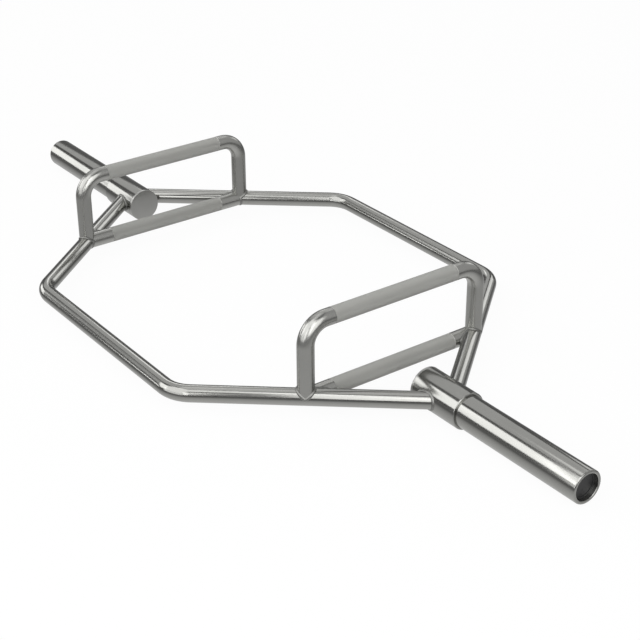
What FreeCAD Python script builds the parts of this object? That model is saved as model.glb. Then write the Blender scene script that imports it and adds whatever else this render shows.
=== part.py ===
import FreeCAD, Part
import math
import os

Vector = FreeCAD.Vector

# Hex trap bar, sizes in millimetres. X runs along the sleeves, -Y is the front, Z is up.
# The origin is on the floor, under the middle of the bar, and the collars stand on the floor.

# Frame: two round bars bent in one plane, which meet at the collars.
handle_spacing = 643.0
handle_to_apex = 132.0
corner_to_handle = 121.5
frame_depth = 605.0
frame_bar_diameter = 26.0
frame_bend_radius = 52.0

# Handles: a high one that stands on the frame and a low one in the frame's plane.
handle_rise = 116.0
handle_bend_radius = 34.0
handle_draw_down = 0.2

# Sleeves and collars: a sleeve's turned seat is pushed into its collar's bore, until the shoulder of
# its short pilot meets the bottom of the counterbore in the collar's mouth.
sleeve_diameter = 50.0
sleeve_load_length = 229.0
sleeve_wall = 5.0
sleeve_lip_rounding = 2.0
sleeve_mouth_rounding = 1.0
seat_step = 2.0
seat_length = 62.0
pilot_step = 0.3
counterbore_depth = 3.0
collar_length = 92.5
apex_to_mouth = 35.5
plate_stop_height = 3.5
plate_stop_rounding = 1.5
mouth_relief = 0.5
fit_clearance = 0.05

# Cap that closes a collar's inner end, with a spigot in the collar's bore.
cap_thickness = 4.0
cap_spigot_length = 6.0
cap_edge_chamfer = 0.5

# Ribbed plug that closes a sleeve's outer end, set back from the lip.
plug_recess = 7.0
plug_disc_thickness = 4.0
plug_rim_width = 2.5
plug_dish_depth = 0.8
plug_barrel_length = 20.0
plug_barrel_wall = 2.0
plug_rib_height = 1.5
plug_rib_count = 3

# Fillet welds round the coped ends.
weld_leg = 2.5
weld_bulge_share = 0.3
weld_sink_share = 0.12
weld_root_share = 0.6
weld_sections = 28

frame_bar_radius = frame_bar_diameter / 2
handle_bar_radius = frame_bar_radius - handle_draw_down
sleeve_radius = sleeve_diameter / 2
sleeve_bore_radius = sleeve_radius - sleeve_wall
seat_radius = sleeve_radius - seat_step
pilot_radius = sleeve_radius - pilot_step
collar_bore_radius = seat_radius + fit_clearance
counterbore_radius = pilot_radius + fit_clearance
collar_radius = sleeve_radius + plate_stop_height
axis_height = collar_radius

handle_x = handle_spacing / 2
apex_x = handle_x + handle_to_apex
corner_x = handle_x - corner_to_handle
side_y = frame_depth / 2
mouth_x = apex_x + apex_to_mouth
shoulder_x = mouth_x - counterbore_depth
sleeve_end_x = mouth_x + sleeve_load_length
cap_x = mouth_x - collar_length
collar_start_x = cap_x + cap_thickness
handle_y = side_y * (apex_x - handle_x) / (apex_x - corner_x)

along_x = Vector(1, 0, 0)
along_y = Vector(0, 1, 0)
along_z = Vector(0, 0, 1)
middle = Vector(0, 0, 0)
full_turn = 360.0


def unit(vector):
    return Vector(vector).normalize()


def across(vector, direction):
    return vector - direction * vector.dot(direction)


def bent_bar(points, radius, bend_radius):
    """A round bar along straight runs through the points, with an arc at each inner point."""
    pieces = []
    start = points[0]
    for before, corner, after in zip(points, points[1:], points[2:]):
        inward = unit(corner - before)
        outward = unit(after - corner)
        turn = inward.getAngle(outward)
        setback = bend_radius * math.tan(turn / 2)
        bend_start = corner - inward * setback
        bend_axis = unit(inward.cross(outward))
        bend_centre = bend_start + bend_axis.cross(inward) * bend_radius
        pieces.append(round_bar(start, bend_start, radius))
        section = Part.Face(Part.Wire(Part.makeCircle(radius, bend_start, inward)))
        pieces.append(section.revolve(bend_centre, bend_axis, math.degrees(turn)))
        start = corner + outward * setback
    pieces.append(round_bar(start, points[-1], radius))
    return pieces[0].fuse(pieces[1:]).removeSplitter()


def round_bar(start, end, radius):
    run = end - start
    return Part.makeCylinder(radius, run.Length, start, run)


def turned(outline):
    """A piece turned about the sleeves' axis from an outline of (x, radius) points."""
    corners = [Vector(x, 0, radius) for x, radius in outline]
    face = Part.Face(Part.makePolygon(corners + corners[:1]))
    return face.revolve(middle, along_x, full_turn)


def rims(shape, x, radius):
    """The round edges of a turned piece at one place along its axis."""
    near = fit_clearance / 2
    found = []
    for edge in shape.Edges:
        circle = edge.Curve
        if circle.TypeId == "Part::GeomCircle":
            if abs(circle.Center.x - x) < near and abs(circle.Radius - radius) < near:
                found.append(edge)
    return found


def frame_bar(side):
    """One half of the hexagon, from apex to apex, coped to both collars."""
    points = [
        Vector(apex_x, 0, 0),
        Vector(corner_x, side * side_y, 0),
        Vector(-corner_x, side * side_y, 0),
        Vector(-apex_x, 0, 0),
    ]
    bar = bent_bar(points, frame_bar_radius, frame_bend_radius)
    for end in (1, -1):
        bar = bar.cut(round_bar(along_x * (end * cap_x), along_x * (end * mouth_x), collar_radius))
    return bar


def low_handle(frame_bars):
    bar = round_bar(Vector(handle_x, -handle_y, 0), Vector(handle_x, handle_y, 0), handle_bar_radius)
    return bar.cut(frame_bars)


def high_handle(frame_bars, low):
    """A bar bent to a U, with both feet coped over the frame and the low handle."""
    points = [
        Vector(handle_x, -handle_y, 0),
        Vector(handle_x, -handle_y, handle_rise),
        Vector(handle_x, handle_y, handle_rise),
        Vector(handle_x, handle_y, 0),
    ]
    bar = bent_bar(points, handle_bar_radius, handle_bend_radius)
    return bar.cut(frame_bars + [low])


def collar():
    """A tube with a counterbored mouth, whose flat end face stops the plates."""
    outline = [
        (collar_start_x, collar_bore_radius),
        (shoulder_x, collar_bore_radius),
        (shoulder_x, counterbore_radius),
        (mouth_x, counterbore_radius),
        (mouth_x, collar_radius),
        (collar_start_x, collar_radius),
    ]
    tube = turned(outline)
    tube = tube.makeFillet(plate_stop_rounding, rims(tube, mouth_x, collar_radius))
    return tube.makeChamfer(mouth_relief, rims(tube, mouth_x, counterbore_radius))


def collar_cap():
    """A plate as wide as the collar, with a spigot that centres it in the collar's bore."""
    outline = [
        (cap_x, 0),
        (cap_x, collar_radius),
        (collar_start_x, collar_radius),
        (collar_start_x, seat_radius),
        (collar_start_x + cap_spigot_length, seat_radius),
        (collar_start_x + cap_spigot_length, 0),
    ]
    plate = turned(outline)
    return plate.makeChamfer(cap_edge_chamfer, rims(plate, cap_x, collar_radius))


def sleeve():
    """A tube with a turned seat and pilot for the collar, and a rounded lip."""
    outline = [
        (shoulder_x - seat_length, sleeve_bore_radius),
        (sleeve_end_x, sleeve_bore_radius),
        (sleeve_end_x, sleeve_radius),
        (mouth_x, sleeve_radius),
        (mouth_x, pilot_radius),
        (shoulder_x, pilot_radius),
        (shoulder_x, seat_radius),
        (shoulder_x - seat_length, seat_radius),
    ]
    tube = turned(outline)
    tube = tube.makeFillet(sleeve_lip_rounding, rims(tube, sleeve_end_x, sleeve_radius))
    return tube.makeFillet(sleeve_mouth_rounding, rims(tube, sleeve_end_x, sleeve_bore_radius))


def sleeve_plug():
    """A dished disc with a hollow barrel, whose ribs grip the sleeve's bore."""
    grip_radius = sleeve_bore_radius - fit_clearance
    barrel_radius = grip_radius - plug_rib_height
    hollow_radius = barrel_radius - plug_barrel_wall
    face_x = sleeve_end_x - plug_recess
    back_x = face_x - plug_disc_thickness
    barrel_end_x = back_x - plug_barrel_length
    rib_pitch = plug_barrel_length / plug_rib_count
    outline = [
        (face_x - plug_dish_depth, 0),
        (face_x - plug_dish_depth, grip_radius - plug_rim_width),
        (face_x, grip_radius - plug_rim_width),
        (face_x, grip_radius),
        (back_x, grip_radius),
        (back_x, barrel_radius),
    ]
    for rib in range(plug_rib_count):
        rib_x = back_x - rib * rib_pitch
        outline.append((rib_x - rib_pitch / 2, barrel_radius))
        outline.append((rib_x - rib_pitch / 2, grip_radius))
        outline.append((rib_x - rib_pitch, barrel_radius))
    outline.append((barrel_end_x, hollow_radius))
    outline.append((back_x, hollow_radius))
    outline.append((back_x, 0))
    return turned(outline)


def sunk(point, axis, radius):
    """The point moved straight in or out until it is that far from a bar's axis."""
    return axis * point.dot(axis) + unit(across(point, axis)) * radius


def seam_section(joint, branch, branch_radius, main, main_radius, turn):
    """One cross-section of a fillet weld, at one turn round a branch bar that meets a main bar."""
    side = unit(across(along_z if abs(branch.z) < abs(branch.y) else along_y, branch))
    out_of_branch = side * math.cos(turn) + branch.cross(side) * math.sin(turn)
    rim = out_of_branch * branch_radius
    climb = across(branch, main)
    spread = across(rim, main)
    lean = climb.dot(spread)
    reach = lean * lean - climb.dot(climb) * (spread.dot(spread) - main_radius * main_radius)
    meeting = rim + branch * ((math.sqrt(reach) - lean) / climb.dot(climb))
    out_of_main = unit(across(meeting, main))
    seam = unit(out_of_branch.cross(out_of_main))
    up_branch = seam.cross(out_of_branch)
    up_branch = up_branch * math.copysign(1, up_branch.dot(out_of_main))
    along_main = seam.cross(out_of_main)
    along_main = along_main * math.copysign(1, along_main.dot(out_of_branch))
    outward = unit(out_of_branch + out_of_main)
    sink = weld_leg * weld_sink_share
    branch_toe = sunk(meeting + up_branch * weld_leg, branch, branch_radius - sink)
    main_toe = sunk(meeting + along_main * weld_leg, main, main_radius - sink)
    crown = (branch_toe + main_toe) / 2 + outward * (sink + weld_leg * weld_bulge_share)
    root = meeting - outward * (weld_leg * weld_root_share)
    corners = [joint + corner for corner in (root, branch_toe, crown, main_toe)]
    return Part.makePolygon(corners + corners[:1])


def fillet_weld(joint, branch, branch_radius, main, main_radius, neighbours):
    """A bead lofted round the coped end of a branch bar, trimmed to the metal that it joins."""
    turns = [2 * math.pi * step / weld_sections for step in range(weld_sections)]
    sections = [seam_section(joint, branch, branch_radius, main, main_radius, turn) for turn in turns]
    bead = Part.makeLoft(sections, True, True, True)
    return bead.cut(neighbours)


def mirrored(shape):
    return shape.mirror(middle, along_x)


def export(shapes, name):
    group = Part.makeCompound([solid for shape in shapes for solid in shape.Solids])
    group.translate(along_z * axis_height)
    group.exportStep("parts/" + name + ".step")
    print(name, len(group.Solids), round(group.Volume))


os.makedirs("parts", exist_ok=True)

front_bar = frame_bar(-1)
rear_bar = frame_bar(1)
frame_bars = [front_bar, rear_bar]
low = low_handle(frame_bars)
high = high_handle(frame_bars, low)
collar_tube = collar()
cap = collar_cap()
sleeve_tube = sleeve()
plug = sleeve_plug()

collar_welds = []
high_welds = []
low_welds = []
for side, bar in ((-1, front_bar), (1, rear_bar)):
    slant = unit(Vector(corner_x - apex_x, side * side_y, 0))
    foot = Vector(handle_x, side * handle_y, 0)
    apex = Vector(apex_x, 0, 0)
    solid_collar = round_bar(along_x * cap_x, along_x * mouth_x, collar_radius)
    metal = [solid_collar, bar]
    collar_welds.append(fillet_weld(apex, slant, frame_bar_radius, along_x, collar_radius, metal))
    metal = [bar, low, high]
    high_weld = fillet_weld(foot, along_z, handle_bar_radius, slant, frame_bar_radius, metal)
    metal = [bar, low, high, high_weld]
    low_weld = fillet_weld(foot, along_y * -side, handle_bar_radius, slant, frame_bar_radius, metal)
    high_welds.append(high_weld)
    low_welds.append(low_weld)

export([front_bar], "front_frame_bar")
export([rear_bar], "rear_frame_bar")
right_pieces = {
    "high_handle": [high],
    "low_handle": [low],
    "collar": [collar_tube],
    "collar_cap": [cap],
    "sleeve": [sleeve_tube],
    "sleeve_plug": [plug],
    "front_collar_weld": collar_welds[:1],
    "rear_collar_weld": collar_welds[1:],
    "high_handle_welds": high_welds,
    "low_handle_welds": low_welds,
}
for name, shapes in right_pieces.items():
    export(shapes, "right_" + name)
    export([mirrored(shape) for shape in shapes], "left_" + name)
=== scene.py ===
import math

import bmesh
import bpy
from mathutils import Matrix, Vector

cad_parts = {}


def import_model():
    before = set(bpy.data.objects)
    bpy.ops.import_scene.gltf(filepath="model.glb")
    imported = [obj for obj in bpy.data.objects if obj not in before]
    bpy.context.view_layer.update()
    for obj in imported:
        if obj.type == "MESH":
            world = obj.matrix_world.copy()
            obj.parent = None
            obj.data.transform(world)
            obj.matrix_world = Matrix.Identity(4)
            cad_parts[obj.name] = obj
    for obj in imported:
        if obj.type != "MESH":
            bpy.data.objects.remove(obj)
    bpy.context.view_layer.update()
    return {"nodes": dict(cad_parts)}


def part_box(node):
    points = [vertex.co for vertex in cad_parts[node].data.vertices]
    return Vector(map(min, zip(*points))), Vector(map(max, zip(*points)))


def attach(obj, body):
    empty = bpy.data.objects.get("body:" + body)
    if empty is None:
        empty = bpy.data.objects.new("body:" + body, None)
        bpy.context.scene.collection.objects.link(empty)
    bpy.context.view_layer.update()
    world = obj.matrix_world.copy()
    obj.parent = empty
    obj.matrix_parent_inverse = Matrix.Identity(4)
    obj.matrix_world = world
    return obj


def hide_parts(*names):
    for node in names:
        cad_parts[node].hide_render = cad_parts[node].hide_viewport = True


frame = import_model()
bpy.context.scene.view_settings.view_transform = "Standard"
print("frame loaded:", len(frame["nodes"]), "nodes")

# Sizes read from the frame, in metres
frameLow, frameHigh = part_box("rear_frame_bar")
highLow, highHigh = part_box("right_high_handle")
collarLow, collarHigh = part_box("right_collar")
capLow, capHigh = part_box("right_collar_cap")
sleeveLow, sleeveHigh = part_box("right_sleeve")
plugLow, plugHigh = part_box("right_sleeve_plug")

axisZ = ((collarLow + collarHigh) / 2).z  # height of the sleeves, the frame and the low handles
frameRadius = (frameHigh.z - frameLow.z) / 2
sideY = frameHigh.y - frameRadius
handleRadius = (highHigh.x - highLow.x) / 2
handleX = ((highLow + highHigh) / 2).x
handleY = highHigh.y - handleRadius
gripZ = highHigh.z - handleRadius
collarRadius = (collarHigh.z - collarLow.z) / 2
sleeveRadius = (sleeveHigh.z - sleeveLow.z) / 2
plugRadius = (plugHigh.z - plugLow.z) / 2

alongX = Vector((1, 0, 0))
alongY = Vector((0, 1, 0))
alongZ = Vector((0, 0, 1))


class Wire:  # one output of a node, so that shader maths reads as sums
    def __init__(self, nodes, socket):
        self.nodes = nodes
        self.socket = socket

    def maths(self, operation, first, second):
        return self.nodes.add("Math", {"operation": operation}, {0: first, 1: second})

    def __add__(self, other):
        return self.maths("ADD", self, other)

    def __radd__(self, other):
        return self.maths("ADD", other, self)

    def __sub__(self, other):
        return self.maths("SUBTRACT", self, other)

    def __rsub__(self, other):
        return self.maths("SUBTRACT", other, self)

    def __mul__(self, other):
        return self.maths("MULTIPLY", self, other)

    def __rmul__(self, other):
        return self.maths("MULTIPLY", other, self)


class Nodes:  # the node tree of a material or the world
    def __init__(self, owner):
        owner.use_nodes = True
        self.tree = owner.node_tree
        self.tree.nodes.clear()

    def add(self, kind, settings=None, inputs=None, output=0):
        node = self.tree.nodes.new("ShaderNode" + kind)
        for key, value in (settings or {}).items():
            setattr(node, key, value)
        for key, value in (inputs or {}).items():
            if isinstance(value, Wire):
                self.tree.links.new(value.socket, node.inputs[key])
            else:
                node.inputs[key].default_value = value
        return Wire(self, node.outputs[output]) if node.outputs else None


def tinted(nodes, share, first, second):  # one colour shading into another
    return nodes.add("Mix", {"data_type": "RGBA"}, {0: share, 6: first, 7: second}, output=2)


# Steel finishes, each clouded between its two colours
frameFinish = {"colour": (0.355, 0.355, 0.34), "dullColour": (0.315, 0.315, 0.30), "roughness": 0.16}
handleFinish = {"colour": (0.40, 0.40, 0.383), "dullColour": (0.355, 0.355, 0.34), "roughness": 0.26}
turnedFinish = {"colour": (0.355, 0.355, 0.34), "dullColour": (0.315, 0.315, 0.30), "roughness": 0.15}
facedFinish = {"colour": (0.5, 0.5, 0.485), "dullColour": (0.45, 0.45, 0.435), "roughness": 0.3}
weldFinish = {"colour": (0.26, 0.26, 0.25), "dullColour": (0.2, 0.2, 0.19), "roughness": 0.42}
polish = {
    "knurlColour": (0.435, 0.435, 0.417),
    "knurlRoughness": 0.7,
    "cloudSize": 0.035,
    "cloudDetail": 5.0,
    "cloudRoughness": 0.03,
    "grainDetail": 4.0,
    "grainRoughness": 0.04,
    "grainHeight": 0.0000005,
}
drawnGrain = {"length": 0.06, "width": 0.0005}  # fine lines along a drawn bar
turnedGrain = {"length": 0.0003, "width": 0.03}  # fine lines round a turned piece
weldGrain = {"length": 0.004, "width": 0.004}


def steel(name, grain, layer, finish, knurled=False):  # the grain's length runs along the layer's x
    material = bpy.data.materials.new(name)
    nodes = Nodes(material)
    if layer == "object":
        spot = nodes.add("TexCoord", output="Object")
    else:
        spot = nodes.add("Attribute", {"attribute_name": layer}, output="Vector")
    scale = (1 / grain["length"], 1 / grain["width"], 1 / grain["width"])
    stretched = nodes.add("Mapping", {"vector_type": "POINT"}, {"Vector": spot, "Scale": scale})
    grainNoise = {"Vector": stretched, "Scale": 1.0, "Detail": polish["grainDetail"]}
    cloudNoise = {"Vector": spot, "Scale": 1 / polish["cloudSize"], "Detail": polish["cloudDetail"]}
    lines = nodes.add("TexNoise", None, grainNoise)
    clouds = nodes.add("TexNoise", None, cloudNoise)
    rough = finish["roughness"] + (lines - 0.5) * polish["grainRoughness"]
    rough = rough + (clouds - 0.5) * polish["cloudRoughness"]
    colour = tinted(nodes, clouds, (*finish["colour"], 1), (*finish["dullColour"], 1))
    if knurled:
        mask = nodes.add("Attribute", {"attribute_name": "knurled"}, output="Fac")
        rough = rough + mask * (polish["knurlRoughness"] - finish["roughness"])
        colour = tinted(nodes, mask, colour, (*polish["knurlColour"], 1))
    bump = nodes.add("Bump", None, {"Strength": 1.0, "Distance": polish["grainHeight"], "Height": lines})
    surface = nodes.add(
        "BsdfPrincipled",
        None,
        {"Base Color": colour, "Metallic": 1.0, "Roughness": rough, "Normal": bump},
    )
    nodes.add("OutputMaterial", None, {"Surface": surface})
    return material


moulding = {
    "colour": (0.012, 0.012, 0.013),
    "paleColour": (0.03, 0.03, 0.03),
    "roughness": 0.42,
    "roughnessChange": 0.2,
    "grainSize": 0.0006,
    "grainDetail": 2.0,
    "grainHeight": 0.00002,
}


def blackPlastic(name):
    material = bpy.data.materials.new(name)
    nodes = Nodes(material)
    spot = nodes.add("TexCoord", output="Object")
    grainNoise = {"Vector": spot, "Scale": 1 / moulding["grainSize"], "Detail": moulding["grainDetail"]}
    grain = nodes.add("TexNoise", None, grainNoise)
    colour = tinted(nodes, grain, (*moulding["colour"], 1), (*moulding["paleColour"], 1))
    bump = nodes.add("Bump", None, {"Strength": 1.0, "Distance": moulding["grainHeight"], "Height": grain})
    rough = moulding["roughness"] + (grain - 0.5) * moulding["roughnessChange"]
    surface = nodes.add("BsdfPrincipled", None, {"Base Color": colour, "Roughness": rough, "Normal": bump})
    nodes.add("OutputMaterial", None, {"Surface": surface})
    return material


frameSteel = steel("frame steel", drawnGrain, "unbent", frameFinish)
handleSteel = steel("handle steel", drawnGrain, "unbent", handleFinish, knurled=True)
collarSteel = steel("collar steel", turnedGrain, "object", turnedFinish)
capSteel = steel("cap steel", turnedGrain, "object", facedFinish)
sleeveSteel = steel("sleeve steel", turnedGrain, "object", turnedFinish)
weldSteel = steel("weld steel", weldGrain, "object", weldFinish)
plugBlack = blackPlastic("plug black")
print("finishes ready")


def place(bm, name, material, node, crease=35):  # bends over so many degrees stay sharp
    bmesh.ops.recalc_face_normals(bm, faces=bm.faces[:])
    for face in bm.faces:
        face.smooth = True
    mesh = bpy.data.meshes.new(name)
    bm.to_mesh(mesh)
    bm.free()
    mesh.set_sharp_from_angle(angle=math.radians(crease))
    mesh.materials.append(material)
    piece = bpy.data.objects.new(name, mesh)
    bpy.context.scene.collection.objects.link(piece)
    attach(piece, "root")
    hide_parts(node)


class BarPen:  # draws a round bar ring by ring, and notes each vertex's place on the straightened bar
    def __init__(self, start, heading, up, radius, sides):
        self.bm = bmesh.new()
        self.unbent = self.bm.verts.layers.float_vector.new("unbent")
        self.knurled = self.bm.verts.layers.float.new("knurled")
        self.centre = Vector(start)
        self.heading = Vector(heading).normalized()
        self.up = Vector(up).normalized()
        self.radius = radius
        self.along = 0.0
        across = self.up.cross(self.heading)
        turn = Matrix((across, self.up, self.heading)).transposed().to_4x4()
        spot = Matrix.Translation(self.centre) @ turn
        made = bmesh.ops.create_circle(self.bm, cap_ends=False, segments=sides, radius=radius, matrix=spot)
        self.ring = made["verts"]
        self.edges = self.bm.edges[:]
        self.firstRing = self.ring
        self.firstEdges = self.edges
        self.stamp(self.ring)

    def stamp(self, verts, knurled=0.0):
        across = self.up.cross(self.heading)
        for vert in verts:
            vert[self.knurled] = knurled
            arm = vert.co - self.centre
            vert[self.unbent] = (self.along + arm.dot(self.heading), arm.dot(across), arm.dot(self.up))

    def extrude(self, move, length):
        made = bmesh.ops.extrude_edge_only(self.bm, edges=self.edges)["geom"]
        self.ring = [item for item in made if isinstance(item, bmesh.types.BMVert)]
        fresh = set(self.ring)
        self.edges = [
            item for item in made if isinstance(item, bmesh.types.BMEdge) and fresh.issuperset(item.verts)
        ]
        bmesh.ops.transform(self.bm, matrix=move, verts=self.ring)
        self.centre = move @ self.centre
        self.heading = (move.to_3x3() @ self.heading).normalized()
        self.along += length
        self.stamp(self.ring)
        return [item for item in made if isinstance(item, bmesh.types.BMFace)]

    def forward(self, length):
        return self.extrude(Matrix.Translation(self.heading * length), length)

    def neck(self, length, radius):  # steps the bar in or out over a short length
        resize = Matrix.Scale(radius / self.radius, 4)
        here = Matrix.Translation(self.centre)
        self.radius = radius
        self.extrude(Matrix.Translation(self.heading * length) @ here @ resize @ here.inverted(), length)

    def bend(self, angle, bendRadius, steps):
        hub = Matrix.Translation(self.centre + self.up.cross(self.heading) * bendRadius)
        turn = hub @ Matrix.Rotation(angle / steps, 4, self.up) @ hub.inverted()
        for _ in range(steps):
            self.extrude(turn, bendRadius * angle / steps)

    def knurl(self, length, rows, height):  # diamonds, each raised to a point
        cells = [face for _ in range(rows) for face in self.forward(length / rows)]
        inCells = set(cells)
        edges = {edge for face in cells for edge in face.edges if len(edge.link_faces) == 2}
        shared = [edge for edge in edges if inCells.issuperset(edge.link_faces)]
        bmesh.ops.recalc_face_normals(self.bm, faces=self.bm.faces[:])
        centres = bmesh.ops.poke(self.bm, faces=cells, offset=0.0, center_mode="MEAN")["verts"]
        bmesh.ops.dissolve_edges(self.bm, edges=shared, use_verts=False, use_face_split=False)
        facets = {face for vert in centres for face in vert.link_faces}
        corners = {vert for face in facets for vert in face.verts}
        diamonds = [face for face in facets if len(face.verts) == 4]
        points = bmesh.ops.poke(self.bm, faces=diamonds, offset=height, center_mode="MEAN")["verts"]
        self.stamp(corners.union(points), knurled=1.0)

    def closed(self):  # the bar's mesh, with a fan on each end
        for edges in (self.firstEdges, self.edges):
            lid = bmesh.ops.edgeloop_fill(self.bm, edges=edges)["faces"]
            bmesh.ops.poke(self.bm, faces=lid, offset=0.0, center_mode="MEAN")
        return self.bm


def slide(arm, heading, axis, radius):  # how far an arm's end goes along heading to a round bar's skin
    climb = heading - axis * heading.dot(axis)
    across = arm - axis * arm.dot(axis)
    lean = climb.dot(across)
    reach = lean * lean - climb.dot(climb) * (across.dot(across) - radius * radius)
    return (math.sqrt(reach) - lean) / climb.dot(climb)


def cope(ring, heading, point, axis, radius):  # cuts a bar's end to fit another round bar
    for vert in ring:
        vert.co += heading * slide(vert.co - point, heading, axis, radius)


# Frame: two bent bars, coped to the collars
hexagon = {"apexX": 0.4535, "cornerX": 0.2, "bendRadius": 0.052, "sides": 72, "bendSteps": 28}
apex = Vector((hexagon["apexX"], 0, axisZ))
slantRun = Vector((hexagon["cornerX"] - hexagon["apexX"], sideY, 0))


def slant(endX, endY):  # from a collar along one of the four slanted runs
    return Vector((slantRun.x * endX, slantRun.y * endY, 0)).normalized()


def frameBar(name, node, endY):
    heading = slant(1, endY)
    turn = heading.angle(-alongX)
    setback = hexagon["bendRadius"] * math.tan(turn / 2)
    slantLength = slantRun.length - collarRadius - setback
    pen = BarPen(apex + heading * collarRadius, heading, alongZ * endY, frameRadius, hexagon["sides"])
    pen.forward(slantLength)
    pen.bend(turn, hexagon["bendRadius"], hexagon["bendSteps"])
    pen.forward(2 * (hexagon["cornerX"] - setback))
    pen.bend(turn, hexagon["bendRadius"], hexagon["bendSteps"])
    pen.forward(slantLength)
    cope(pen.firstRing, heading, apex, alongX, collarRadius)
    cope(pen.ring, slant(-1, endY), Vector((-apex.x, 0, axisZ)), alongX, collarRadius)
    place(pen.closed(), name, frameSteel, node)


frameBar("frontFrameBar", "front_frame_bar", -1)
frameBar("rearFrameBar", "rear_frame_bar", 1)
print("frame bars drawn")

# Handles: knurled in the middle of the grip
grip = {
    "knurlLength": 0.223,
    "knurlDepth": 0.0004,
    "neckLength": 0.0004,
    "sides": 54,
    "rows": 150,
    "bendRadius": 0.034,
    "bendSteps": 24,
}


def knurledRun(pen, length):  # a straight grip with the knurl in its middle
    plain = (length - grip["knurlLength"]) / 2 - grip["neckLength"]
    pen.forward(plain)
    pen.neck(grip["neckLength"], handleRadius - grip["knurlDepth"])
    pen.knurl(grip["knurlLength"], grip["rows"], grip["knurlDepth"])
    pen.neck(grip["neckLength"], handleRadius)
    pen.forward(plain)


def highHandle(name, node, endX):
    foot = Vector((handleX * endX, -handleY, axisZ + frameRadius))
    legLength = gripZ - axisZ - frameRadius - grip["bendRadius"]
    pen = BarPen(foot, alongZ, -alongX, handleRadius, grip["sides"])
    pen.forward(legLength)
    pen.bend(math.pi / 2, grip["bendRadius"], grip["bendSteps"])
    knurledRun(pen, 2 * (handleY - grip["bendRadius"]))
    pen.bend(math.pi / 2, grip["bendRadius"], grip["bendSteps"])
    pen.forward(legLength)
    for ring, endY in ((pen.firstRing, -1), (pen.ring, 1)):
        base = Vector((handleX * endX, handleY * endY, axisZ))
        cope(ring, alongZ, base, slant(endX, endY), frameRadius)
        for vert in ring:
            arm = vert.co - base
            if arm.y * endY < 0:  # the foot's inner half stands on the low handle
                vert.co.z = max(vert.co.z, axisZ + math.sqrt(max(0, handleRadius**2 - arm.x**2)))
    place(pen.closed(), name, handleSteel, node)


def lowHandle(name, node, endX):
    reach = handleY - frameRadius
    pen = BarPen(Vector((handleX * endX, -reach, axisZ)), alongY, alongZ, handleRadius, grip["sides"])
    knurledRun(pen, 2 * reach)
    for ring, endY in ((pen.firstRing, -1), (pen.ring, 1)):
        base = Vector((handleX * endX, handleY * endY, axisZ))
        cope(ring, -alongY * endY, base, slant(endX, endY), frameRadius)
    place(pen.closed(), name, handleSteel, node)


for side, endX in (("right", 1), ("left", -1)):
    highHandle(side + "HighHandle", side + "_high_handle", endX)
    lowHandle(side + "LowHandle", side + "_low_handle", endX)
print("handles drawn and knurled")

# Turned pieces, as outlines of (distance from the middle, radius, corner rounding) spun about the sleeves
turning = {"steps": 128, "roundingSegments": 6, "crease": 30, "tolerance": 1e-6}


def turned(name, node, outline, material, endX):
    bm = bmesh.new()
    verts = [bm.verts.new((x * endX, 0, axisZ + radius)) for x, radius, _ in outline]
    for first, second in zip(verts, verts[1:] + verts[:1]):
        bm.edges.new((first, second))
    bm.faces.new(verts)
    for vert, (_, _, rounding) in zip(verts, outline):
        if rounding:
            bmesh.ops.bevel(
                bm,
                geom=[vert],
                offset=rounding,
                offset_type="OFFSET",
                segments=turning["roundingSegments"],
                profile=0.5,
                affect="VERTICES",
                material=-1,
            )
    bmesh.ops.delete(bm, geom=bm.faces[:], context="FACES_ONLY")
    middle = {vert for vert in bm.verts if abs(vert.co.z - axisZ) < turning["tolerance"]}
    onAxis = [edge for edge in bm.edges if middle.issuperset(edge.verts)]
    bmesh.ops.delete(bm, geom=onAxis, context="EDGES")
    bmesh.ops.spin(
        bm,
        geom=bm.verts[:] + bm.edges[:],
        cent=(0, 0, axisZ),
        axis=alongX,
        angle=2 * math.pi,
        steps=turning["steps"],
        use_merge=True,
    )
    bmesh.ops.remove_doubles(bm, verts=bm.verts[:], dist=turning["tolerance"])
    place(bm, name, material, node, turning["crease"])


collarCut = {"counterbore": 0.003, "clearance": 0.00005, "stopRounding": 0.0015, "mouthRelief": 0.0005}
sleeveCut = {
    "wall": 0.005,
    "seatStep": 0.002,
    "pilotStep": 0.0003,
    "lipRounding": 0.002,
    "mouthRounding": 0.001,
}
capCut = {"spigot": 0.006, "edge": 0.0005}
plugCut = {
    "disc": 0.004,
    "rim": 0.0025,
    "rimRounding": 0.0002,
    "dish": 0.0008,
    "barrelWall": 0.002,
    "ribs": 3,
    "ribHeight": 0.0015,
}

mouthX = collarHigh.x
shoulderX = mouthX - collarCut["counterbore"]
seatRadius = sleeveRadius - sleeveCut["seatStep"]
collarBore = seatRadius + collarCut["clearance"]
pilotRadius = sleeveRadius - sleeveCut["pilotStep"]
counterbore = pilotRadius + collarCut["clearance"]
sleeveBore = sleeveRadius - sleeveCut["wall"]

collarOutline = [
    (collarLow.x, collarBore, 0),
    (shoulderX, collarBore, 0),
    (shoulderX, counterbore, 0),
    (mouthX, counterbore, collarCut["mouthRelief"]),
    (mouthX, collarRadius, collarCut["stopRounding"]),
    (collarLow.x, collarRadius, 0),
]
capOutline = [
    (capLow.x, 0, 0),
    (capLow.x, collarRadius, capCut["edge"]),
    (collarLow.x, collarRadius, 0),
    (collarLow.x, seatRadius, 0),
    (capHigh.x, seatRadius, 0),
    (capHigh.x, 0, 0),
]
sleeveOutline = [
    (sleeveLow.x, sleeveBore, 0),
    (sleeveHigh.x, sleeveBore, sleeveCut["mouthRounding"]),
    (sleeveHigh.x, sleeveRadius, sleeveCut["lipRounding"]),
    (mouthX, sleeveRadius, 0),
    (mouthX, pilotRadius, 0),
    (shoulderX, pilotRadius, 0),
    (shoulderX, seatRadius, 0),
    (sleeveLow.x, seatRadius, 0),
]
backX = plugHigh.x - plugCut["disc"]
barrelRadius = plugRadius - plugCut["ribHeight"]
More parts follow.
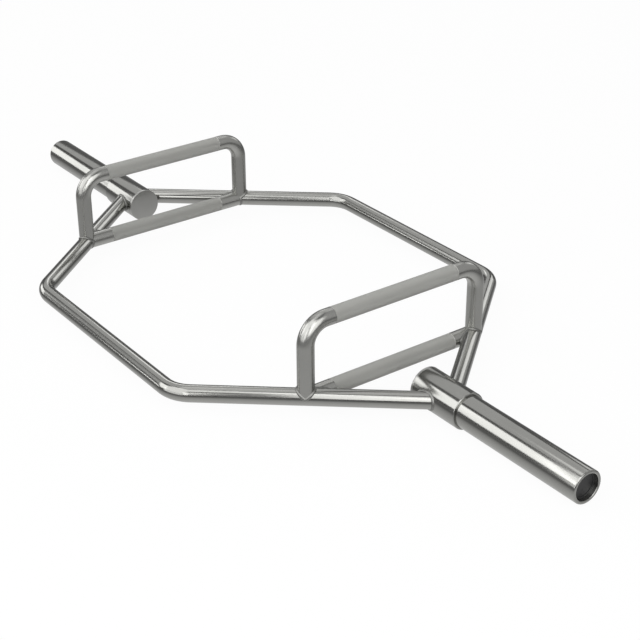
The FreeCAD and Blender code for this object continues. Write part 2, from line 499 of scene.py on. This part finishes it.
ribPitch = (backX - plugLow.x) / plugCut["ribs"]
plugOutline = [
    (plugHigh.x - plugCut["dish"], 0, 0),
    (plugHigh.x - plugCut["dish"], plugRadius - plugCut["rim"], 0),
    (plugHigh.x, plugRadius - plugCut["rim"], plugCut["rimRounding"]),
    (plugHigh.x, plugRadius, plugCut["rimRounding"]),
    (backX, plugRadius, 0),
    (backX, barrelRadius, 0),
]
for rib in range(plugCut["ribs"]):
    ribX = backX - rib * ribPitch
    plugOutline.append((ribX - ribPitch / 2, barrelRadius, 0))
    plugOutline.append((ribX - ribPitch / 2, plugRadius, 0))
    plugOutline.append((ribX - ribPitch, barrelRadius, 0))
plugOutline.append((plugLow.x, barrelRadius - plugCut["barrelWall"], 0))
plugOutline.append((backX, barrelRadius - plugCut["barrelWall"], 0))
plugOutline.append((backX, 0, 0))

for side, endX in (("right", 1), ("left", -1)):
    turned(side + "Collar", side + "_collar", collarOutline, collarSteel, endX)
    turned(side + "CollarCap", side + "_collar_cap", capOutline, capSteel, endX)
    turned(side + "Sleeve", side + "_sleeve", sleeveOutline, sleeveSteel, endX)
    turned(side + "SleevePlug", side + "_sleeve_plug", plugOutline, plugBlack, endX)
print("sleeves, collars, caps and plugs turned")

# Fillet welds round the coped ends
weld = {"leg": 0.0025, "bulgeShare": 0.3, "sinkShare": 0.12, "rootShare": 0.6, "sections": 96, "rings": 7}


def seamCorners(branch, branchRadius, main, mainRadius, turn):  # a bead's section at one turn
    reference = alongZ if abs(branch.z) < abs(branch.y) else alongY
    across = (reference - branch * reference.dot(branch)).normalized()
    outOfBranch = across * math.cos(turn) + branch.cross(across) * math.sin(turn)
    rim = outOfBranch * branchRadius
    meeting = rim + branch * slide(rim, branch, main, mainRadius)
    outOfMain = (meeting - main * meeting.dot(main)).normalized()
    seam = outOfBranch.cross(outOfMain).normalized()
    upBranch = seam.cross(outOfBranch)
    upBranch *= math.copysign(1, upBranch.dot(outOfMain))
    alongMain = seam.cross(outOfMain)
    alongMain *= math.copysign(1, alongMain.dot(outOfBranch))
    outward = (outOfBranch + outOfMain).normalized()
    sink = weld["leg"] * weld["sinkShare"]
    branchToe = meeting + upBranch * weld["leg"] - outOfBranch * sink
    mainToe = meeting + alongMain * weld["leg"] - outOfMain * sink
    crown = (branchToe + mainToe) / 2 + outward * (sink + weld["leg"] * weld["bulgeShare"]) * 2
    root = meeting - outward * weld["leg"] * weld["rootShare"]
    return branchToe, crown, mainToe, root


def bead(bm, joint, branch, branchRadius, main, mainRadius):  # one closed bead, ring by ring
    turns = [2 * math.pi * step / weld["sections"] for step in range(weld["sections"])]
    corners = [seamCorners(branch, branchRadius, main, mainRadius, turn) for turn in turns]
    loops = []
    for ring in range(weld["rings"] + 1):
        share = ring / (weld["rings"] - 1)
        made = bmesh.ops.create_circle(bm, cap_ends=False, segments=weld["sections"], radius=branchRadius)
        for vert, (branchToe, crown, mainToe, root) in zip(made["verts"], corners):
            curve = branchToe * (1 - share) ** 2 + crown * 2 * share * (1 - share) + mainToe * share**2
            vert.co = joint + (root if ring == weld["rings"] else curve)
        loops.append({edge for vert in made["verts"] for edge in vert.link_edges})
    for first, second in zip(loops, loops[1:] + loops[:1]):
        bmesh.ops.bridge_loops(bm, edges=list(first | second))


def beads(name, node, joints):
    bm = bmesh.new()
    for joint in joints:
        bead(bm, *joint)
    place(bm, name, weldSteel, node)


for side, endX in (("right", 1), ("left", -1)):
    highJoints = []
    lowJoints = []
    for where, endY in (("front", -1), ("rear", 1)):
        apexPoint = Vector((apex.x * endX, 0, axisZ))
        run = slant(endX, endY)
        collarJoint = (apexPoint, run, frameRadius, alongX, collarRadius)
        beads(side + where.capitalize() + "CollarWeld", side + "_" + where + "_collar_weld", [collarJoint])
        foot = Vector((handleX * endX, handleY * endY, axisZ))
        highJoints.append((foot, alongZ, handleRadius, run, frameRadius))
        lowJoints.append((foot, -alongY * endY, handleRadius, run, frameRadius))
    beads(side + "HighHandleWelds", side + "_high_handle_welds", highJoints)
    beads(side + "LowHandleWelds", side + "_low_handle_welds", lowJoints)
print("welds laid")


# Floor and room: lifted to white for the camera, and a little in mirrors and glass
def whitened(nodes, plain, white, look):
    camera = nodes.add("LightPath", output="Is Camera Ray")
    glossy = nodes.add("LightPath", output="Is Glossy Ray")
    clear = nodes.add("LightPath", output="Is Transmission Ray")
    seen = camera * look["lift"] + (glossy + clear) * look["mirroredLift"]
    return nodes.add("MixShader", None, {0: seen, 1: plain, 2: white})


floorLook = {
    "size": 60.0,
    "colour": (0.8, 0.8, 0.8),  # as the camera sees it
    "dimColour": (0.16, 0.16, 0.16),  # as the steel sees it
    "lift": 0.95,
    "mirroredLift": 0.05,
}


def floor():
    bm = bmesh.new()
    bmesh.ops.create_grid(bm, x_segments=1, y_segments=1, size=floorLook["size"] / 2)
    mesh = bpy.data.meshes.new("floor")
    bm.to_mesh(mesh)
    bm.free()
    material = bpy.data.materials.new("floor")
    nodes = Nodes(material)
    pale = nodes.add("BsdfDiffuse", None, {"Color": (*floorLook["colour"], 1)})
    dim = nodes.add("BsdfDiffuse", None, {"Color": (*floorLook["dimColour"], 1)})
    camera = nodes.add("LightPath", output="Is Camera Ray")
    matt = nodes.add("MixShader", None, {0: camera, 1: dim, 2: pale})
    white = nodes.add("Emission", None, {"Color": (1, 1, 1, 1), "Strength": 1.0})
    nodes.add("OutputMaterial", None, {"Surface": whitened(nodes, matt, white, floorLook)})
    mesh.materials.append(material)
    ground = bpy.data.objects.new("floor", mesh)
    bpy.context.scene.collection.objects.link(ground)


floor()

# Studio: a dim room, with soft boxes and panels at (azimuth, elevation) round the object. The light
# table lies just over the floor, and its narrower spread leaves it dark to steel that sees it from low down.
studio = {"room": 0.1, "lift": 1.0, "mirroredLift": 0.07, "aim": (0, 0, 0.05)}
softBoxes = {
    "leftBox": {"from": (-36.7, 28.4), "distance": 8.0, "size": (2.75, 5.35), "roll": 30, "radiance": 2.3},
    "lowLeftBox": {"from": (-71.6, 7), "distance": 8.0, "size": (4.0, 3.5), "roll": 23, "radiance": 2.3},
    "leftPanel": {"from": (-57, 31), "distance": 8.5, "size": (3.4, 3.6), "roll": 20, "radiance": 0.4},
    "backLineStrip": {"from": (-44.5, 4.5), "distance": 8.0, "size": (1.1, 0.8), "radiance": 3.4},
    "frontBox": {"from": (0, 44), "distance": 6.0, "size": (5.3, 6.4), "radiance": 1.8},
    "lowFrontBox": {"from": (1.5, 7), "distance": 6.0, "size": (5.2, 1.5), "radiance": 1.5},
    "lowRightBox": {"from": (33.7, 17.8), "distance": 2.0, "size": (0.42, 0.97), "radiance": 2.5},
    "cameraBox": {"from": (56, 34), "distance": 2.2, "size": (0.62, 2.05), "radiance": 2.2},
    "rightBox": {"from": (80, 27), "distance": 6.0, "size": (4.4, 5.4), "radiance": 2.1},
    "backBox": {"from": (-163, 21), "distance": 6.0, "size": (2.0, 1.8), "radiance": 1.3},
    "topBox": {"from": (-60, 84), "distance": 5.0, "size": (3.0, 2.6), "radiance": 0.9},
    "overheadPanel": {"from": (-114, 48), "distance": 6.0, "size": (6.4, 6.0), "radiance": 0.66},
    "edgeStrip": {"from": (-119, 30), "distance": 6.0, "size": (0.95, 1.1), "radiance": 1.5},
    "rearPanel": {"from": (155, 34), "distance": 9.0, "size": (16.5, 12.0), "radiance": 0.42},
    "lightTable": {"from": (0, -90), "distance": 0.049, "size": (5, 5), "radiance": 0.5, "spread": 152},
}


def directionTo(azimuth, elevation):
    turn = math.radians(azimuth)
    tilt = math.radians(elevation)
    return Vector((math.sin(turn) * math.cos(tilt), -math.cos(turn) * math.cos(tilt), math.sin(tilt)))


def world():
    made = bpy.data.worlds.new("studio")
    nodes = Nodes(made)
    dim = nodes.add("Background", None, {"Color": (1, 1, 1, 1), "Strength": studio["room"]})
    white = nodes.add("Background", None, {"Color": (1, 1, 1, 1), "Strength": 1.0})
    nodes.add("OutputWorld", None, {"Surface": whitened(nodes, dim, white, studio)})
    bpy.context.scene.world = made


def softBox(name, box):
    light = bpy.data.lights.new(name, "AREA")
    light.shape = "RECTANGLE"
    light.size, light.size_y = box["size"]
    light.energy = box["radiance"] * math.pi * light.size * light.size_y
    light.spread = math.radians(box.get("spread", 180))
    lamp = bpy.data.objects.new(name, light)
    away = directionTo(*box["from"])
    lamp.location = Vector(studio["aim"]) + away * box["distance"]
    facing = away.to_track_quat("Z", "Y").to_matrix()
    lamp.rotation_euler = (facing @ Matrix.Rotation(math.radians(box.get("roll", 0)), 3, "Z")).to_euler()
    lamp.visible_camera = False
    bpy.context.scene.collection.objects.link(lamp)


world()
for name, box in softBoxes.items():
    softBox(name, box)
print("studio lit with", len(softBoxes), "soft boxes")

# Camera at the photograph's viewing angle
view = {
    "azimuth": 53.712,
    "elevation": 28.284,
    "roll": -0.227,
    "target": (0.14892, -0.00563, 0.0285),
    "distance": 2.2794,
    "lens": 82.62,
    "sensor": 36.0,
}
cameraData = bpy.data.cameras.new("camera")
cameraData.lens = view["lens"]
cameraData.sensor_width = view["sensor"]
camera = bpy.data.objects.new("camera", cameraData)
back = directionTo(view["azimuth"], view["elevation"])
camera.location = Vector(view["target"]) + back * view["distance"]
level = back.to_track_quat("Z", "Y").to_matrix()
camera.rotation_euler = (level @ Matrix.Rotation(math.radians(view["roll"]), 3, "Z")).to_euler()
bpy.context.scene.collection.objects.link(camera)
bpy.context.scene.camera = camera
